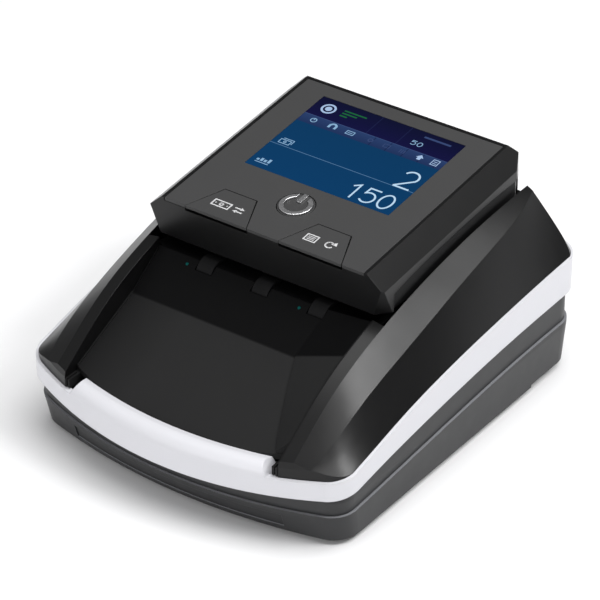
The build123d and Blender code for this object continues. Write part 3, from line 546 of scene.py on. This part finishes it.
def banknote_icon(cx, cy):
    """A note and a pair of arrows: change what is counted."""
    shapes = banknote(cx - 2.6, cy, 7.4, 3.6, 0.55)
    shapes += ribbon([(cx + 2.6, cy + 0.9), (cx + 5.2, cy + 0.9)], 0.55)
    shapes += [[(cx + 5.0, cy + 0.1), (cx + 6.6, cy + 0.9), (cx + 5.0, cy + 1.7)]]
    shapes += ribbon([(cx + 4.0, cy - 0.9), (cx + 6.6, cy - 0.9)], 0.55)
    return shapes + [[(cx + 4.2, cy - 1.7), (cx + 4.2, cy - 0.1), (cx + 2.6, cy - 0.9)]]


def clear_icon(cx, cy):
    """A paper slip and a turning arrow: report and reset."""
    shapes = frame_rect(cx - 6.6, cy - 1.9, cx - 1.6, cy + 1.9, 0.5)
    for lift in (0.75, 0.0, -0.75):
        shapes += ribbon([(cx - 5.6, cy + lift), (cx - 2.6, cy + lift)], 0.35)
    shapes += arc(cx + 3.4, cy, 1.2, 1.8, 40, 335, 34)
    return shapes + [[(cx + 3.5, cy + 0.55), (cx + 6.0, cy + 0.35), (cx + 5.3, cy + 2.2)]]


KEY_X, KEY_V = 19.6, 6.9  # middle of a key's icon
INK = 0.05
printed("left_key_icon", banknote_icon(-KEY_X, KEY_V), print_white, "left_key_cap", 0.0, INK)
printed("right_key_icon", clear_icon(KEY_X, KEY_V), print_white, "right_key_cap", 0.0, INK)


# ---- floor and light ----
FLOOR_HALF = 6.0
FLOOR_DROP = 0.2 * MM


def add_floor():
    mesh = bpy.data.meshes.new("floor")
    corners = [(x * FLOOR_HALF, y * FLOOR_HALF, 0) for x, y in ((-1, -1), (1, -1), (1, 1), (-1, 1))]
    mesh.from_pydata(corners, [], [(0, 1, 2, 3)])
    floor = bpy.data.objects.new("floor", mesh)
    floor.location.z = -FLOOR_DROP
    bpy.context.scene.collection.objects.link(floor)
    g = Graph("floor_white")
    g.set(Base_Color=g.mix(g.noise(3.0), (0.90, 0.90, 0.905, 1), (0.92, 0.92, 0.925, 1)))
    g.set(Roughness=0.75)
    g.shader.inputs["Specular IOR Level"].default_value = 0.2
    mesh.materials.append(g.mat)


def softbox(name, place, aim, size, watts):
    data = bpy.data.lights.new(name, "AREA")
    data.shape = "RECTANGLE"
    data.size, data.size_y = size
    data.energy = watts
    lamp = bpy.data.objects.new(name, data)
    lamp.location = place
    lamp.rotation_euler = (Vector(place) - Vector(aim)).to_track_quat("Z", "Y").to_euler()
    bpy.context.scene.collection.objects.link(lamp)


def add_world():
    world = bpy.data.worlds.new("studio")
    world.use_nodes = True
    tree = world.node_tree
    background = tree.nodes["Background"]
    coords = tree.nodes.new("ShaderNodeTexCoord")
    split = tree.nodes.new("ShaderNodeSeparateXYZ")
    ramp = tree.nodes.new("ShaderNodeMapRange")
    tree.links.new(coords.outputs["Generated"], split.inputs[0])
    tree.links.new(split.outputs["Y"], ramp.inputs["Value"])
    ramp.inputs["From Min"].default_value = -1.0
    ramp.inputs["From Max"].default_value = 0.8
    ramp.inputs["To Min"].default_value = 0.55
    ramp.inputs["To Max"].default_value = 0.12
    tree.links.new(ramp.outputs[0], background.inputs["Strength"])
    background.inputs["Color"].default_value = (1.0, 1.0, 1.01, 1)
    bpy.context.scene.world = world


add_floor()
add_world()
softbox("overhead", (0.25, 0.1, 1.7), (0, 0, 0), (1.4, 1.4), 21)
softbox("right_side", (0.92, 0.27, 1.12), (0.92, 0.27, 0), (0.3, 0.55), 10.5)
softbox("right_rear", (0.64, 0.86, 1.12), (0.64, 0.86, 0), (0.2, 0.7), 2.9)
softbox("front_fill", (-0.1, -1.8, 0.6), (0, 0, 0.04), (1.6, 0.7), 9)
bpy.context.scene.view_settings.view_transform = "Standard"
